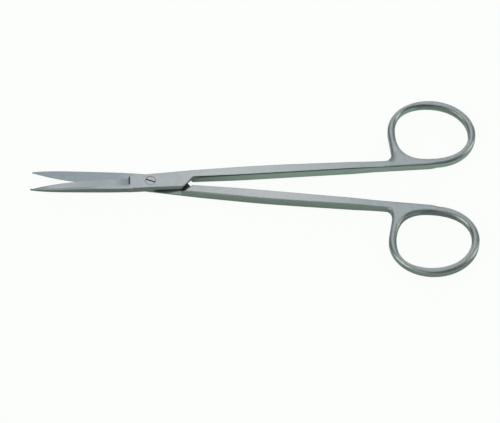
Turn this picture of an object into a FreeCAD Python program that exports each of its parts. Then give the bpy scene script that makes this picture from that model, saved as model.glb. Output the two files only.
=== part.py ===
import FreeCAD
import Part
import math
import os

from FreeCAD import Vector

# Straight surgical scissors with two sharp points and a screwed lap joint.
# Sizes are in millimetres and degrees.
#
# The frame's origin is where the pivot's axis meets the underside. +X runs
# from the joint to the finger rings, and +Z points up. Each half is drawn
# shut, with the line where the halves meet along X and the plane of the lap
# at height zero. The upper half has its ring at +Y and its blade's back at -Y.
# The lower half is the same forging rolled over, and both are then opened.

# How the halves stand to each other
opening_at_rest = 10.06
line_past_pivot = 0.55

# Blade
blade_reach = 43.3
shoulder_reach = 7.3
shoulder_back = 3.5
shoulder_edge = 2.35
belly_back = 2.73
belly_edge = 2.5
waist_back = 2.0
waist_edge = 2.2
waist_thickness = 1.8
point_back = 1.2
point_edge = 1.33
point_thickness = 1.25
tip_half_width = 0.17
tip_thickness = 0.95
edge_land = 0.12
ridge_share = 0.43

# Where the bevel runs out and curves up to the shoulder, which leans
run_out_length = 4.3
run_out_lift = 0.4
run_out_back = 3.28
run_out_edge = 2.46
run_out_ridge_share = 0.34
shoulder_lean = 0.75

# Lap joint
lap_height = 2.4
lap_near_reach = 11.85
lap_far_reach = 15.5
lap_end_width = 3.95
lap_end_lean = 0.46
lap_middle_width = 3.62
lap_corner_radius = 1.8
relief_width = 0.95
relief_depth = 1.5
step_clearance = 0.25

# Shank
shank_gap = 0.03
joint_width = 2.95
shank_width = 3.6
shank_middle = 34.0
neck_width = 2.7
neck_swell = 0.2
neck_reach = 72.0
shank_half_thickness = 1.97
step_depth = 1.35
shank_round = 0.35

# Finger ring, and the web in the corner where it leaves the shank
ring_place = 102.85
ring_long = 13.4
ring_short = 11.55
ring_corner = 13.65
ring_tilt = 13.0
ring_bar = 2.6
ring_thickness = 3.3
ring_round = 0.85
foot_bulge = 0.2
web_edge = 0.25
web_face = 86.75
web_lean = 3.5
notch_radius = 2.4

# Pivot screw
screw_diameter = 2.3
head_diameter = 3.5
head_height = 0.9
head_sink = 0.04
slot_width = 0.5
slot_depth = 0.5
slot_angle = -19.0
running_clearance = 0.03
head_gap = 0.13

TOO_FAR = 60.0
X_AXIS = Vector(1, 0, 0)
Z_AXIS = Vector(0, 0, 1)
ORIGIN = Vector(0, 0, 0)

# The ring's outer side runs into the shank's inner edge without a step
long_middle = ring_long + ring_bar / 2
short_middle = ring_short + ring_bar / 2
tilt = math.radians(ring_tilt)
ring_half_width = math.hypot(long_middle * math.sin(tilt), short_middle * math.cos(tilt)) + ring_bar / 2
ring_half_length = math.hypot(long_middle * math.cos(tilt), short_middle * math.sin(tilt)) + ring_bar / 2
ring_offset = shank_gap + ring_half_width
ring_centre = Vector(ring_place, ring_offset, 0)
half_ring = ring_thickness / 2


def flat(x, y):
    """A point in plan."""
    return Vector(x, y, 0)


def upright(x, z):
    """A point in the side view."""
    return Vector(x, 0, z)


def curve(*points):
    """A smooth edge through the points."""
    spline = Part.BSplineCurve()
    spline.interpolate(list(points))
    return spline.toShape()


def bend(*poles):
    """A smooth edge that leaves and meets its ends along its poles."""
    bezier = Part.BezierCurve()
    bezier.setPoles(list(poles))
    return bezier.toShape()


def straight(*points):
    """Straight edges from each point to the next."""
    return [Part.makeLine(a, b) for a, b in zip(points, points[1:])]


def rounded_corner(before, corner, after, radius):
    """Start, arc and end of a corner rounded in plan."""
    one = (before - corner).normalize()
    other = (after - corner).normalize()
    half = one.getAngle(other) / 2
    reach = radius / math.tan(half)
    centre = corner + (one + other).normalize() * (radius / math.sin(half))
    middle = centre + (corner - centre).normalize() * radius
    start = corner + one * reach
    end = corner + other * reach
    return start, Part.Arc(start, middle, end).toShape(), end


def swept(edges, direction):
    """The solid that a closed outline sweeps along a direction."""
    wire = Part.Wire(Part.__sortEdges__(edges))
    return Part.Face(wire).extrude(direction)


def hole_point(angle, reach=None):
    """A point of the finger hole's outline, on its tilted oval unless its reach is given."""
    across = angle + tilt
    on_oval = 1 / math.hypot(math.cos(across) / ring_long, math.sin(across) / ring_short)
    return angle, reach or on_oval


def hole_prism(grow, shift, thickness):
    """The finger hole, wider by grow and moved by shift, as an upright solid.

    The hole is an oval that is squarer on the side towards the blades.
    """
    right = math.pi / 2
    square = 0.6 * right
    outline = [
        hole_point(-tilt),
        hole_point(0.4 * right),
        hole_point(right - tilt),
        hole_point(2 * right - square + tilt, ring_corner),
        hole_point(2 * right),
        hole_point(2 * right + square - tilt, ring_corner),
        hole_point(3 * right),
        hole_point(3.4 * right),
    ]
    points = []
    for angle, reach in outline:
        points.append(flat(math.cos(angle), math.sin(angle)) * (reach + grow))
    spline = Part.BSplineCurve()
    spline.interpolate(Points=points, PeriodicFlag=True)
    solid = Part.Face(Part.Wire([spline.toShape()])).extrude(Z_AXIS * thickness)
    solid.translate(ring_centre + shift - Z_AXIS * (thickness / 2))
    return solid


def blade_section(reach, back, edge, thickness, ridge_share=ridge_share, lift=0):
    """One slice across the blade: flat inside, a narrow flat on top, and a bevel to the edge."""
    ridge = back - ridge_share * back
    slope = (thickness - edge_land) / (edge + ridge)
    corners = [
        Vector(-reach, -back, 0),
        Vector(-reach, -back, thickness),
        Vector(-reach, lift / slope - ridge, thickness),
        Vector(-reach, edge, edge_land + lift),
        Vector(-reach, edge, 0),
    ]
    return Part.makePolygon(corners + corners[:1])


def blade():
    """The blade, from where the bevel begins to its point."""
    run = blade_reach - shoulder_reach
    start = shoulder_reach + run_out_length
    sections = [
        blade_section(start, run_out_back, run_out_edge, lap_height, run_out_ridge_share),
        blade_section(shoulder_reach + 0.35 * run, belly_back, belly_edge, lap_height),
        blade_section(shoulder_reach + 0.62 * run, waist_back, waist_edge, waist_thickness),
        blade_section(shoulder_reach + 0.84 * run, point_back, point_edge, point_thickness),
        blade_section(blade_reach, tip_half_width, tip_half_width, tip_thickness),
    ]
    too_high = Part.makeBox(TOO_FAR, TOO_FAR, TOO_FAR, Vector(-TOO_FAR, -TOO_FAR / 2, lap_height))
    too_low = Part.makeBox(TOO_FAR, TOO_FAR, TOO_FAR, Vector(-TOO_FAR, -TOO_FAR / 2, -TOO_FAR))
    return Part.makeLoft(sections, True, False).cut([too_high, too_low])


def bevel_run_out():
    """Where the bevel curves up to the shoulder, as the grinding wheel leaves it."""
    sections = []
    for share in (0, 0.5, 1):
        reach = shoulder_reach + run_out_length - share * (run_out_length + shoulder_lean)
        back = run_out_back + share * (shoulder_back - run_out_back)
        edge = run_out_edge + share * (shoulder_edge - run_out_edge)
        lift = run_out_lift * share ** 2
        sections.append(blade_section(reach, back, edge, lap_height, run_out_ridge_share, lift))
    return Part.makeLoft(sections, True, False)


def handle_plan():
    """Outline of the lap, the shank and the web, seen from above."""
    front = -shoulder_reach - 2 * shoulder_lean
    near_front = flat(front, -shoulder_back)
    far_front = flat(front, shoulder_edge)
    near_end = flat(lap_near_reach, -lap_end_width)
    crotch = flat(lap_far_reach, shank_gap)
    foot = flat(ring_place - ring_bar, shank_gap - foot_bulge)
    backward = (foot - crotch).normalize()
    tongue = ring_centre + flat(long_middle * math.cos(0.8), -short_middle * math.sin(0.8))
    shoulder = flat(-shoulder_reach, shoulder_edge)
    notch = flat(web_face, neck_width)
    inside_web = flat(web_face + ring_bar / 2, ring_offset - ring_short / 2)
    shank_side = flat(neck_reach, neck_width + neck_swell)
    shank_wide = flat(shank_middle, shank_width)
    joint_side = flat(lap_near_reach, joint_width)
    notch_start, notch_arc, notch_end = rounded_corner(shoulder, notch, inside_web, notch_radius)
    return [
        curve(near_front, flat(0, -lap_middle_width), near_end),
        *straight(near_end, near_end + backward * lap_height, crotch + backward * lap_height, foot),
        bend(foot, foot + X_AXIS * 2 * ring_bar, tongue),
        *straight(tongue, ring_centre, inside_web, notch_end),
        notch_arc,
        curve(notch_start, shank_side, shank_wide, joint_side, shoulder),
        *straight(shoulder, far_front, near_front),
    ]


def handle_profile():
    """Outline of the lap, the shank and the ring, seen from the side."""
    end = ring_place + ring_half_length
    front = -shoulder_reach
    web_end = web_face - 2 * notch_radius
    return [
        *straight(upright(front, lap_height), upright(lap_near_reach, lap_height)),
        swell(lap_near_reach, lap_height, shank_middle, shank_half_thickness),
        *straight(upright(shank_middle, shank_half_thickness), upright(neck_reach, shank_half_thickness)),
        swell(neck_reach, shank_half_thickness, web_end, half_ring),
        *straight(upright(web_end, half_ring), upright(end, half_ring)),
        *straight(upright(end, half_ring), upright(end, -half_ring)),
        *straight(upright(end, -half_ring), upright(web_end, -half_ring)),
        swell(neck_reach, -shank_half_thickness, web_end, -half_ring),
        *straight(upright(neck_reach, -shank_half_thickness), upright(shank_middle, -shank_half_thickness)),
        swell(lap_near_reach, -step_depth, shank_middle, -shank_half_thickness),
        *straight(upright(lap_near_reach, -step_depth), upright(front, -step_depth)),
        *straight(upright(front, -step_depth), upright(front - shoulder_lean, 0)),
        *straight(upright(front - shoulder_lean, 0), upright(front, lap_height)),
    ]


def swell(near, near_height, far, far_height):
    """A side-view edge that passes level from one height to another."""
    third = (far - near) / 3
    return bend(upright(near, near_height), upright(near + third, near_height),
                upright(far - third, far_height), upright(far, far_height))


def is_long_edge(edge):
    """Whether an edge runs round the top or the bottom of the handle."""
    halfway = (edge.FirstParameter + edge.LastParameter) / 2
    middle = edge.valueAt(halfway)
    heading = edge.tangentAt(halfway)
    level = abs(heading.z) < 0.5 and abs(heading.y) < 0.95
    return level and abs(middle.z) > step_depth / 2 and middle.x < ring_place - ring_bar / 2


def ring_plan():
    """Outline of the ring with the web's outer side, without the finger hole."""
    long_way = Vector(math.cos(tilt), -math.sin(tilt), 0)
    short_way = Vector(math.sin(tilt), math.cos(tilt), 0)
    long_outer = ring_long + ring_bar
    short_outer = ring_short + ring_bar
    long_end = ring_centre + long_way * long_outer
    oval = Part.Ellipse(long_end, ring_centre + short_way * short_outer, ring_centre)
    lean = math.radians(web_lean)
    outward = Vector(-math.cos(lean), -math.sin(lean), 0)
    touch_angle = math.atan2(short_outer * outward.dot(short_way), long_outer * outward.dot(long_way))
    bottom_angle = -math.pi / 2 - tilt / 2
    arc = Part.ArcOfEllipse(oval, bottom_angle, touch_angle + 2 * math.pi).toShape()
    touch = oval.value(touch_angle)
    bottom = oval.value(bottom_angle)
    drop = touch.y - neck_width + ring_round
    foot = touch + Vector(drop * math.tan(lean), -drop, 0)
    return [arc, *straight(touch, foot, bottom)]


def finger_ring():
    """The oval finger ring, a bar with well-rounded edges."""
    ring = swept(ring_plan(), Z_AXIS * ring_thickness)
    ring.translate(-Z_AXIS * half_ring)
    ring = ring.cut(hole_prism(0, ORIGIN, 3 * ring_thickness))
    edges = [edge for edge in ring.Edges if abs(edge.tangentAt(edge.FirstParameter).z) < 0.5]
    return ring.makeFillet(ring_round, edges)


def before_step(low, high):
    """Everything on the blades' side of the step, which follows the other lap's end."""
    near = flat(lap_near_reach, lap_end_width)
    far = flat(lap_far_reach, -shank_gap)
    along = (far - near).normalize()
    foot = flat(step_clearance - lap_end_lean * lap_height, 0)
    near = near + foot - along * 3 * lap_height
    far = far + foot + along * 3 * lap_height
    left = X_AXIS * TOO_FAR
    slant = Z_AXIS - X_AXIS * lap_end_lean
    room = swept(straight(near, far, far - left, near - left, near), slant * (high - low))
    room.translate(slant * low)
    return room


def crotch_space():
    """The space past the lap's leaning end, which runs round into the shank's inner edge."""
    near_end = flat(lap_near_reach, -lap_end_width)
    crotch = flat(lap_far_reach, shank_gap)
    foot = flat(ring_place - ring_bar, shank_gap - foot_bulge)
    backward = (foot - crotch).normalize()
    start = near_end - (crotch - near_end).normalize() * lap_height
    stop = crotch + backward * 2 * lap_height
    arc_start, arc, arc_end = rounded_corner(start, crotch, stop, lap_corner_radius)
    outside = stop + flat(0, -2 * lap_height)
    outline = [*straight(start, arc_start), arc, *straight(arc_end, stop, outside, start)]
    slant = backward * lap_end_lean + Z_AXIS
    space = swept(outline, slant * 3 * lap_height)
    space.translate(Z_AXIS * lap_height - slant * 2 * lap_height)
    return space


def relief():
    """The bevel along the lap's outer side, on the face that meets the other half."""
    start = Vector(-shoulder_reach, shoulder_edge, 0)
    run = Vector(lap_near_reach + shoulder_reach, joint_width - shoulder_edge, 0)
    corners = [
        start - Vector(0, relief_width, 0),
        start + Vector(0, 0, relief_depth),
        start + Vector(0, lap_height, relief_depth),
        start + Vector(0, lap_height, -lap_height),
        start - Vector(0, relief_width, lap_height),
    ]
    wedge = Part.Face(Part.makePolygon(corners + corners[:1])).extrude(run * 2)
    return wedge.common(before_step(-lap_height, lap_height))


def handle():
    """The lap, the shank and the web, with their edges rounded."""
    plan = swept(handle_plan(), Z_AXIS * TOO_FAR)
    plan.translate(Z_AXIS * -TOO_FAR / 2)
    profile = swept(handle_profile(), Vector(0, 2 * TOO_FAR, 0))
    profile.translate(Vector(0, -TOO_FAR, 0))
    solid = plan.common(profile).cut([before_step(-2 * lap_height, 0), crotch_space()])
    solid = solid.makeFillet(shank_round, [edge for edge in solid.Edges if is_long_edge(edge)])
    away = flat(ring_place - web_face, ring_offset).normalize()
    return solid.cut([hole_prism(ring_bar / 2, away * (ring_bar / 2 - web_edge), TOO_FAR), relief()])


def half_blank():
    """One half as forged and ground, shut, before the pivot is drilled."""
    return handle().fuse([finger_ring(), blade(), bevel_run_out()])


def upright_rod(diameter, low, high):
    """A round rod on the pivot's axis, from one height to another."""
    return Part.makeCylinder(diameter / 2, high - low, Z_AXIS * low)


def upper_half():
    """The half with the sunk seat for the screw's head."""
    solid = half_blank()
    solid.translate(Vector(0, line_past_pivot, lap_height))
    solid = solid.cut(upright_rod(screw_diameter + 2 * running_clearance, 0, 3 * lap_height))
    seat = 2 * lap_height - head_sink - head_height
    solid = solid.cut(upright_rod(head_diameter + 2 * head_gap, seat, 3 * lap_height))
    solid.rotate(ORIGIN, Z_AXIS, opening_at_rest / 2)
    return solid


def lower_half():
    """The same forging rolled over, with the hole that the screw is fixed in."""
    solid = half_blank()
    solid.rotate(ORIGIN, X_AXIS, 180)
    solid.translate(Vector(0, line_past_pivot, lap_height))
    solid = solid.cut(upright_rod(screw_diameter, -lap_height, 2 * lap_height))
    solid.rotate(ORIGIN, Z_AXIS, -opening_at_rest / 2)
    return solid


def pivot_screw():
    """The slotted screw: its head in the upper half, its end flush below."""
    top = 2 * lap_height - head_sink
    solid = upright_rod(screw_diameter, 0, top).fuse(upright_rod(head_diameter, top - head_height, top))
    slot = Part.makeBox(2 * head_diameter, slot_width, 2 * slot_depth)
    slot.translate(Vector(-head_diameter, -slot_width / 2, top - slot_depth))
    slot.rotate(ORIGIN, Z_AXIS, slot_angle)
    return solid.cut(slot)


def save(name, shape):
    """Write one piece, and check that it is a single closed solid."""
    if len(shape.Solids) != 1 or not shape.isValid():
        raise ValueError(name + " is not one closed solid")
    shape.Solids[0].exportStep("parts/" + name + ".step")


os.makedirs("parts", exist_ok=True)
save("upper_half", upper_half())
save("lower_half", lower_half())
save("pivot_screw", pivot_screw())
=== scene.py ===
import math

import bmesh
import bpy
from mathutils import Matrix, Vector


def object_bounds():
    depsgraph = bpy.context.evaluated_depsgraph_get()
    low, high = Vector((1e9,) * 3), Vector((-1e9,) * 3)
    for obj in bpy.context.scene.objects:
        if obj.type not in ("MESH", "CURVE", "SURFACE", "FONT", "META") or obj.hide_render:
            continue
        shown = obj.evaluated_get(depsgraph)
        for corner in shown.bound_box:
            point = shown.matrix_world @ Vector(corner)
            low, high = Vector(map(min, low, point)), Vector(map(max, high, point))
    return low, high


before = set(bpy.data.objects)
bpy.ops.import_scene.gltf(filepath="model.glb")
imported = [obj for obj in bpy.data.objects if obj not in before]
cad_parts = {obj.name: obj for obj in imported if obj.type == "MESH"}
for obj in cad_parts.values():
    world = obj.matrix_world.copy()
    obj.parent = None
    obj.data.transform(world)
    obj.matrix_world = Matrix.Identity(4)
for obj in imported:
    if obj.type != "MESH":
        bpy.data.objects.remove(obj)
cad_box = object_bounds()


# The camera stands in front of the scissors and well above them, with a long
# lens. The rings are at its right and the points at its left.
mm = 0.001
camera_place = Vector((55.4325, -445.7187, 659.6453)) * mm
camera_right = Vector((0.9996, 0.0255, -0.0128)).normalized()
camera_back = Vector((0.0247, -0.5514, 0.8339)).normalized()
camera_up = camera_back.cross(camera_right).normalized()
camera_right = camera_up.cross(camera_back)
camera_turn = Matrix((camera_right, camera_up, camera_back)).transposed().to_4x4()

camera_data = bpy.data.cameras.new("camera")
camera_data.sensor_fit = "HORIZONTAL"
camera_data.sensor_width = 36.0
camera_data.lens = 159.24
camera_data.clip_start = 0.01
camera = bpy.data.objects.new("camera", camera_data)
camera.matrix_world = Matrix.Translation(camera_place) @ camera_turn
bpy.context.scene.collection.objects.link(camera)
bpy.context.scene.camera = camera


# Both halves and the screw are of stainless steel, ground and then brushed to a
# fine satin. The scratches run along each piece, under faint clouds of tone, and
# the ring bars have softly rounded edges.
satin = (0.595, 0.615, 0.62)
satin_shade = (0.525, 0.555, 0.555)
scratch_scale = (700, 5000, 5000)
scratch_height = 0.02 * mm
cloud_scale = 900.0
ring_round_start = 82 * mm
ring_round_full = 87 * mm
ring_round_radius = 1.4 * mm


def node_in(tree, kind, **settings):
    """A new node in a tree, with its settings."""
    node = tree.nodes.new(kind)
    for name, value in settings.items():
        setattr(node, name, value)
    return node


def make_satin():
    """Fine scratches in one direction, cloudy patches, and a small tilt of the surface."""
    group = bpy.data.node_groups.new("satin grind", "ShaderNodeTree")
    panel = group.interface
    panel.new_socket("Along", in_out="INPUT", socket_type="NodeSocketVector")
    panel.new_socket("Normal", in_out="INPUT", socket_type="NodeSocketVector")
    for name in ("Tint", "Second Tint"):
        panel.new_socket(name, in_out="INPUT", socket_type="NodeSocketColor")
    for name in ("Roughness", "Roughness Spread", "Depth"):
        panel.new_socket(name, in_out="INPUT", socket_type="NodeSocketFloat")
    panel.new_socket("Color", in_out="OUTPUT", socket_type="NodeSocketColor")
    panel.new_socket("Roughness", in_out="OUTPUT", socket_type="NodeSocketFloat")
    panel.new_socket("Normal", in_out="OUTPUT", socket_type="NodeSocketVector")
    given = node_in(group, "NodeGroupInput")
    out = node_in(group, "NodeGroupOutput")
    link = group.links.new

    scratch_space = node_in(group, "ShaderNodeMapping", vector_type="POINT")
    scratch_space.inputs["Scale"].default_value = scratch_scale
    scratches = node_in(group, "ShaderNodeTexNoise")
    scratches.inputs["Scale"].default_value = 1.0
    scratches.inputs["Detail"].default_value = 3.0
    clouds = node_in(group, "ShaderNodeTexNoise")
    clouds.inputs["Scale"].default_value = cloud_scale
    clouds.inputs["Detail"].default_value = 3.0
    link(given.outputs["Along"], scratch_space.inputs["Vector"])
    link(scratch_space.outputs["Vector"], scratches.inputs["Vector"])
    link(given.outputs["Along"], clouds.inputs["Vector"])

    both = node_in(group, "ShaderNodeMix", data_type="FLOAT")
    both.inputs["Factor"].default_value = 0.5
    link(scratches.outputs["Fac"], both.inputs["A"])
    link(clouds.outputs["Fac"], both.inputs["B"])
    mask = node_in(group, "ShaderNodeMapRange")
    mask.inputs["From Min"].default_value = 0.3
    mask.inputs["From Max"].default_value = 0.7
    link(both.outputs["Result"], mask.inputs["Value"])

    color = node_in(group, "ShaderNodeMix", data_type="RGBA")
    link(mask.outputs["Result"], color.inputs["Factor"])
    link(given.outputs["Tint"], color.inputs["A"])
    link(given.outputs["Second Tint"], color.inputs["B"])
    link(color.outputs["Result"], out.inputs["Color"])

    spread = node_in(group, "ShaderNodeMath", operation="MULTIPLY_ADD")
    link(mask.outputs["Result"], spread.inputs[0])
    link(given.outputs["Roughness Spread"], spread.inputs[1])
    link(given.outputs["Roughness"], spread.inputs[2])
    link(spread.outputs["Value"], out.inputs["Roughness"])

    bump = node_in(group, "ShaderNodeBump")
    bump.inputs["Distance"].default_value = scratch_height
    link(given.outputs["Depth"], bump.inputs["Strength"])
    link(scratches.outputs["Fac"], bump.inputs["Height"])
    link(given.outputs["Normal"], bump.inputs["Normal"])
    link(bump.outputs["Normal"], out.inputs["Normal"])
    return group


satin_grind = make_satin()


def satin_steel(name, roughness, turn_degrees):
    """Satin steel for a piece that lies turned, with its colour and the values for its masks."""
    material = bpy.data.materials.new(name)
    material.use_nodes = True
    tree = material.node_tree
    shader = tree.nodes["Principled BSDF"]
    shader.inputs["Metallic"].default_value = 1.0
    where = node_in(tree, "ShaderNodeTexCoord")
    turned = node_in(tree, "ShaderNodeMapping", vector_type="POINT")
    turned.inputs["Rotation"].default_value[2] = math.radians(turn_degrees)
    place = node_in(tree, "ShaderNodeSeparateXYZ")
    facing = node_in(tree, "ShaderNodeSeparateXYZ")
    tree.links.new(where.outputs["Object"], turned.inputs["Vector"])
    tree.links.new(turned.outputs["Vector"], place.inputs["Vector"])
    tree.links.new(where.outputs["Normal"], facing.inputs["Vector"])

    ring_round = node_in(tree, "ShaderNodeMapRange")
    ring_round.inputs["From Min"].default_value = ring_round_start
    ring_round.inputs["From Max"].default_value = ring_round_full
    ring_round.inputs["To Min"].default_value = 0.0
    ring_round.inputs["To Max"].default_value = ring_round_radius
    soft_edge = node_in(tree, "ShaderNodeBevel", samples=8)
    tree.links.new(place.outputs["X"], ring_round.inputs["Value"])
    tree.links.new(ring_round.outputs["Result"], soft_edge.inputs["Radius"])

    grind = node_in(tree, "ShaderNodeGroup", node_tree=satin_grind)
    grind.inputs["Tint"].default_value = (*satin, 1)
    grind.inputs["Second Tint"].default_value = (*satin_shade, 1)
    grind.inputs["Roughness"].default_value = roughness
    grind.inputs["Roughness Spread"].default_value = 0.1
    grind.inputs["Depth"].default_value = 0.2
    tree.links.new(turned.outputs["Vector"], grind.inputs["Along"])
    tree.links.new(soft_edge.outputs["Normal"], grind.inputs["Normal"])
    tree.links.new(grind.outputs["Roughness"], shader.inputs["Roughness"])
    tree.links.new(grind.outputs["Normal"], shader.inputs["Normal"])
    return material, grind.outputs["Color"], turned.outputs["Vector"], place.outputs, facing.outputs


def ramp(tree, value, low, high):
    """A mask that goes smoothly from 0 at one value to 1 at another."""
    mask = node_in(tree, "ShaderNodeMapRange", interpolation_type="SMOOTHSTEP")
    mask.inputs["From Min"].default_value = low
    mask.inputs["From Max"].default_value = high
    tree.links.new(value, mask.inputs["Value"])
    return mask.outputs["Result"]


def near(tree, turned, spot, far, close):
    """A mask round one place, from 0 at one distance to 1 at another."""
    away = node_in(tree, "ShaderNodeVectorMath", operation="DISTANCE")
    away.inputs[1].default_value = Vector(spot) * mm
    tree.links.new(turned, away.inputs[0])
    return ramp(tree, away.outputs["Value"], far * mm, close * mm)


def all_masks(tree, *masks):
    """Where every one of the masks is 1."""
    result = masks[0]
    for mask in masks[1:]:
        product = node_in(tree, "ShaderNodeMath", operation="MULTIPLY")
        tree.links.new(result, product.inputs[0])
        tree.links.new(mask, product.inputs[1])
        result = product.outputs["Value"]
    return result


def dress(name, material, color, zones):
    """Multiplies the steel's colour by a tint in each zone, and puts the steel on a piece."""
    tree = material.node_tree
    for mask, tint in zones:
        mix = node_in(tree, "ShaderNodeMix", data_type="RGBA", blend_type="MULTIPLY")
        mix.inputs["B"].default_value = (*tint, 1)
        tree.links.new(mask, mix.inputs["Factor"])
        tree.links.new(color, mix.inputs["A"])
        color = mix.outputs["Result"]
    tree.links.new(color, tree.nodes["Principled BSDF"].inputs["Base Color"])
    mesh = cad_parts[name].data
    mesh.materials.clear()
    mesh.materials.append(material)


# The upper half is one forging of that steel: blade, lap, shank and finger ring.
# It turns on the screw, on top of the lower half. Its level faces are darker at
# ring, blade and lap, and painted shade lies at the shoulder, round the screw,
# along the lap's foot and in its corners and inner sides.
half_opening = 5.03
ring_tint = (0.76, 0.8, 0.82)
material, color, turned, place, facing = satin_steel("satin_steel_upper", 0.27, -half_opening)
tree = material.node_tree
level = ramp(tree, facing["Z"], 0.9, 0.98)
front = ramp(tree, facing["Y"], -0.3, -0.6)
ring = ramp(tree, place["X"], 28 * mm, 88 * mm)
blade = ramp(tree, place["X"], -1 * mm, -13 * mm)
lap = ramp(tree, place["X"], 26 * mm, 8 * mm)
past_shoulder = ramp(tree, place["X"], -7.2 * mm, -7.3 * mm)
bevel = all_masks(tree, past_shoulder, ramp(tree, facing["Z"], 0.97, 0.93))
# Painted shade on the run-out's sloping faces in front of the shoulder.
run_out_shade = all_masks(
    tree,
    past_shoulder,
    ramp(tree, place["X"], -15 * mm, -8 * mm),
    ramp(tree, place["Y"], -2.2 * mm, -0.8 * mm),
    ramp(tree, facing["Z"], 0.4, 0.6),
)
# Painted shade in the corner at the foot of the shoulder.
shoulder_corner_shade = all_masks(
    tree,
    past_shoulder,
    ramp(tree, place["X"], -8.1 * mm, -7.8 * mm),
    ramp(tree, place["Y"], -2.9 * mm, -2.4 * mm),
    ramp(tree, place["Z"], 4.78 * mm, 4.7 * mm),
)
# Painted shade on the front sides, deepest towards the crotch.
crotch_shade = all_masks(
    tree,
    front,
    ramp(tree, place["X"], 12 * mm, 15 * mm),
    ramp(tree, place["X"], 45 * mm, 15 * mm),
)
# A painted shadow line along the foot of the lap's front side, where it meets the lower half.
lap_foot_shadow = all_masks(
    tree,
    front,
    ramp(tree, place["X"], 0.3 * mm, 2 * mm),
    ramp(tree, place["X"], 14 * mm, 12 * mm),
    ramp(tree, place["Z"], 3.5 * mm, 3.05 * mm),
)
# Painted shade on the lap's diagonal end, below its top.
lap_end_shade = all_masks(
    tree,
    ramp(tree, place["X"], 11.2 * mm, 11.6 * mm),
    ramp(tree, place["X"], 15.6 * mm, 15.0 * mm),
    ramp(tree, place["Z"], 4.5 * mm, 4.2 * mm),
)
# Painted shade along the upper edge of the shank's front side.
shank_edge_shade = all_masks(
    tree,
    front,
    ramp(tree, place["X"], 15 * mm, 18 * mm),
    ramp(tree, place["Z"], 3.75 * mm, 4.0 * mm),
)
# Painted shade on the upper part of the finger ring's inner wall.
ring_inside_shade = all_masks(
    tree,
    front,
    near(tree, turned, (102.85, 14.28, 2.4), 13.4, 12.7),
    ramp(tree, place["Z"], 1.0 * mm, 3.2 * mm),
)
# Painted shade on the top beside the notch between web and ring.
notch_shade = all_masks(
    tree,
    near(tree, turned, (85.4, 5.0, 4.0), 4.4, 2.0),
    ramp(tree, place["X"], 86 * mm, 86.6 * mm),
    ramp(tree, place["Y"], 1.2 * mm, 3.0 * mm),
)
# Painted shade in the gap round the screw's head.
screw_rim_shade = near(tree, turned, (0, 0, 4.3), 1.98, 1.9)
dress("upper_half", material, color, (
    (all_masks(tree, level, ring), ring_tint),
    (all_masks(tree, level, blade), (0.92, 0.94, 0.94)),
    (all_masks(tree, level, lap), (0.92, 0.92, 0.94)),
    (bevel, (0.93, 0.92, 0.96)),
    (run_out_shade, (0.56, 0.6, 0.61)),
    (shoulder_corner_shade, (0.25, 0.26, 0.27)),
    # painted shade on the front sides of the lap
    (all_masks(tree, front, lap), (0.76, 0.77, 0.76)),
    (crotch_shade, (0.78, 0.78, 0.76)),
    (lap_foot_shadow, (0.12, 0.12, 0.13)),
    (lap_end_shade, (0.65, 0.67, 0.68)),
    (shank_edge_shade, (0.42, 0.42, 0.44)),
    (ring_inside_shade, (0.55, 0.56, 0.58)),
    (notch_shade, (0.5, 0.55, 0.55)),
    (screw_rim_shade, (0.4, 0.41, 0.42)),
))


# The lower half is the same forging rolled over, and the screw is fixed in it.
# The flat inside of its blade faces up and looks bluer. Painted shade lies in
# the step, under the lap's end, on the lap and along the upper half's lap edge.
material, color, turned, place, facing = satin_steel("satin_steel_lower", 0.27, half_opening)
tree = material.node_tree
level = ramp(tree, facing["Z"], 0.9, 0.98)
front = ramp(tree, facing["Y"], -0.3, -0.6)
ring = ramp(tree, place["X"], 40 * mm, 90 * mm)
blade = ramp(tree, place["X"], -1 * mm, -13 * mm)
# Painted shade on the upper part of the finger ring's inner wall.
ring_inside_shade = all_masks(
    tree,
    front,
    near(tree, turned, (102.85, -14.28, 2.4), 13.4, 12.7),
    ramp(tree, place["Z"], 1.0 * mm, 3.2 * mm),
)
# Painted shade on the lap floor between the upper lap's end and the step.
lap_pit_shade = all_masks(
    tree,
    ramp(tree, place["X"], 10.8 * mm, 11.4 * mm),
    ramp(tree, place["X"], 15.4 * mm, 15.0 * mm),
    ramp(tree, place["Y"], -2.2 * mm, -1.4 * mm),
    ramp(tree, place["Z"], 3.7 * mm, 3.4 * mm),
)
# Painted shade on the step's wall.
step_wall_shade = all_masks(
    tree,
    ramp(tree, facing["X"], -0.3, -0.55),
    ramp(tree, place["X"], 9.0 * mm, 9.5 * mm),
    ramp(tree, place["X"], 16 * mm, 15 * mm),
)
# Painted shadow on the lower lap's level strip beside the upper lap.
lap_strip_shadow = all_masks(
    tree,
    level,
    ramp(tree, place["X"], 0.5 * mm, 3 * mm),
    ramp(tree, place["Y"], -0.6 * mm, -1.6 * mm),
    ramp(tree, place["Z"], 2.7 * mm, 2.5 * mm),
)
relief = all_masks(
    tree,
    ramp(tree, facing["Z"], 0.25, 0.4),
    ramp(tree, facing["Z"], 0.85, 0.75),
    ramp(tree, place["X"], 0.5 * mm, 1.5 * mm),
    ramp(tree, place["X"], 12 * mm, 11.5 * mm),
    ramp(tree, place["Z"], 2.6 * mm, 2.45 * mm),
)
# Painted shade on the relief's slope, deepest at the end nearer the blade.
relief_shade = all_masks(tree, relief, ramp(tree, place["X"], 8 * mm, 3 * mm))
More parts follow.
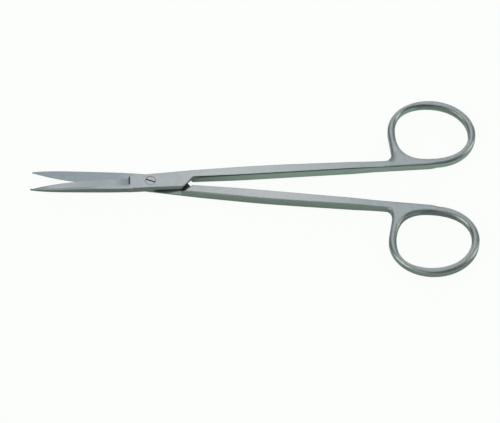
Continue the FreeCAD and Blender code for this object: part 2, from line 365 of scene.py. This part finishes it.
# A painted shadow line on the relief along the upper half's lap edge.
across_lap_edge = node_in(tree, "ShaderNodeVectorMath", operation="DOT_PRODUCT")
across_lap_edge.inputs[1].default_value = (-0.12, 0.99, 0)
tree.links.new(turned, across_lap_edge.inputs[0])
lap_edge_shadow = all_masks(tree, relief, ramp(tree, across_lap_edge.outputs["Value"], -3.1 * mm, -2.75 * mm))
dress("lower_half", material, color, (
    (all_masks(tree, level, ring), ring_tint),
    (all_masks(tree, level, blade), (0.67, 0.74, 0.78)),
    (ring_inside_shade, (0.6, 0.61, 0.63)),
    (lap_pit_shade, (0.38, 0.4, 0.41)),
    (step_wall_shade, (0.3, 0.31, 0.32)),
    (lap_strip_shadow, (0.3, 0.31, 0.32)),
    (relief, (0.93, 1.0, 1.13)),
    (relief_shade, (0.5, 0.5, 0.5)),
    (lap_edge_shadow, (0.2, 0.21, 0.21)),
))


# The screw is turned from the same steel, fixed in the lower half and faced off
# level with the joint. Painted shade darkens its slot, and its level top is a
# little darker.
material, color, _, place, facing = satin_steel("satin_steel_screw", 0.29, 40)
tree = material.node_tree
dress("pivot_screw", material, color, (
    # painted shade in the slot
    (ramp(tree, place["Z"], 4.74 * mm, 4.62 * mm), (0.3, 0.31, 0.31)),
    (ramp(tree, facing["Z"], 0.9, 0.98), (0.97, 0.97, 0.97)),
))


# The scissors lie on a plain white surface. Rays from the camera find it mostly an
# even white glow, rays from the steel find a share of a painted green glow, less
# in front of the scissors than behind, and it keeps the scissors' soft shadow.
floor_reach = 3.0
floor_drop = 0.02 * mm
camera_share = 0.9
near_steel_share = 0.07
far_steel_share = 0.25
share_lean = 0.09
share_fade = 1.5 * mm
floor_mesh = bpy.data.meshes.new("floor")
floor_bm = bmesh.new()
bmesh.ops.create_grid(floor_bm, x_segments=1, y_segments=1, size=floor_reach)
bmesh.ops.translate(floor_bm, vec=(0, 0, cad_box[0][2] - floor_drop), verts=floor_bm.verts)
floor_bm.to_mesh(floor_mesh)
floor_bm.free()
floor = bpy.data.objects.new("floor", floor_mesh)
bpy.context.scene.collection.objects.link(floor)

floor_white = bpy.data.materials.new("floor_white")
floor_white.use_nodes = True
tree = floor_white.node_tree
paper = tree.nodes["Principled BSDF"]
paper.inputs["Base Color"].default_value = (0.61, 0.73, 0.66, 1)
paper.inputs["Roughness"].default_value = 1.0
paper.inputs["Specular IOR Level"].default_value = 0.0
glow = node_in(tree, "ShaderNodeEmission")
glow.inputs["Color"].default_value = (0.985, 1.0, 0.985, 1)
glow.inputs["Strength"].default_value = 1.06
# A painted green glow that only the steel's rays see, in a share set by place.
sheen = node_in(tree, "ShaderNodeEmission")
sheen.inputs["Color"].default_value = (0.72, 1.0, 0.84, 1)
where = node_in(tree, "ShaderNodeTexCoord")
place = node_in(tree, "ShaderNodeSeparateXYZ")
behind = node_in(tree, "ShaderNodeMath", operation="MULTIPLY_ADD")
behind.inputs[1].default_value = share_lean
share = node_in(tree, "ShaderNodeMapRange", interpolation_type="SMOOTHSTEP")
share.inputs["From Min"].default_value = -share_fade
share.inputs["From Max"].default_value = share_fade
share.inputs["To Min"].default_value = near_steel_share
share.inputs["To Max"].default_value = far_steel_share
rays = node_in(tree, "ShaderNodeLightPath")
for_steel = node_in(tree, "ShaderNodeMath", operation="MULTIPLY")
for_camera = node_in(tree, "ShaderNodeMath", operation="MULTIPLY")
for_camera.inputs[1].default_value = camera_share
shaded = node_in(tree, "ShaderNodeMixShader")
ground = node_in(tree, "ShaderNodeMixShader")
tree.links.new(where.outputs["Object"], place.inputs["Vector"])
tree.links.new(place.outputs["X"], behind.inputs[0])
tree.links.new(place.outputs["Y"], behind.inputs[2])
tree.links.new(behind.outputs["Value"], share.inputs["Value"])
tree.links.new(rays.outputs["Is Glossy Ray"], for_steel.inputs[0])
tree.links.new(share.outputs["Result"], for_steel.inputs[1])
tree.links.new(for_steel.outputs["Value"], shaded.inputs["Fac"])
tree.links.new(paper.outputs["BSDF"], shaded.inputs[1])
tree.links.new(sheen.outputs["Emission"], shaded.inputs[2])
tree.links.new(rays.outputs["Is Camera Ray"], for_camera.inputs[0])
tree.links.new(for_camera.outputs["Value"], ground.inputs["Fac"])
tree.links.new(shaded.outputs["Shader"], ground.inputs[1])
tree.links.new(glow.outputs["Emission"], ground.inputs[2])
tree.links.new(ground.outputs["Shader"], tree.nodes["Material Output"].inputs["Surface"])
floor_mesh.materials.append(floor_white)


# A dim sky and seven soft lamp panels. Each panel stands where one set of faces
# mirrors it: the level faces, the sides, the bevels or the ring bars.
world = bpy.data.worlds.new("studio")
bpy.context.scene.world = world
world.use_nodes = True
world.node_tree.nodes["Background"].inputs["Color"].default_value = (0.88, 1.0, 0.93, 1)
world.node_tree.nodes["Background"].inputs["Strength"].default_value = 0.12
lit_spot = Vector((0.035, 0, 0))


def soft_box(name, azimuth, elevation, distance, width, height, radiance, color):
    """A lamp panel that faces the scissors from a direction, of a given brightness."""
    out = Vector((
        math.sin(math.radians(azimuth)) * math.cos(math.radians(elevation)),
        math.cos(math.radians(azimuth)) * math.cos(math.radians(elevation)),
        math.sin(math.radians(elevation)),
    ))
    lamp = bpy.data.lights.new(name, "AREA")
    lamp.shape = "RECTANGLE"
    lamp.size = width
    lamp.size_y = height
    lamp.color = color
    lamp.energy = radiance * math.pi * width * height
    holder = bpy.data.objects.new(name, lamp)
    facing_in = out.to_track_quat("Z", "Y").to_matrix().to_4x4()
    holder.matrix_world = Matrix.Translation(lit_spot + out * distance) @ facing_in
    bpy.context.scene.collection.objects.link(holder)


soft_box("back box", 0, 58, 1.2, 0.6, 0.9, 0.63, (0.98, 1.0, 1.02))
soft_box("wide box", 0, 60, 1.3, 2.2, 1.0, 0.25, (0.98, 1.0, 1.02))
soft_box("low back box", 0, 14, 1.4, 2.4, 0.6, 1.05, (0.99, 1.0, 1.03))
soft_box("right box", 84, 24, 1.2, 0.5, 1.2, 1.3, (1.0, 0.99, 0.88))
soft_box("left box", -116, 24, 1.2, 0.8, 1.2, 1.3, (1.0, 0.99, 0.88))
soft_box("front box", -158, 20, 1.2, 0.8, 0.7, 0.5, (1.0, 1.0, 0.95))
soft_box("top box", 180, 82, 1.2, 0.5, 0.35, 1.1, (0.96, 1.0, 1.04))

bpy.context.scene.view_settings.view_transform = "Standard"
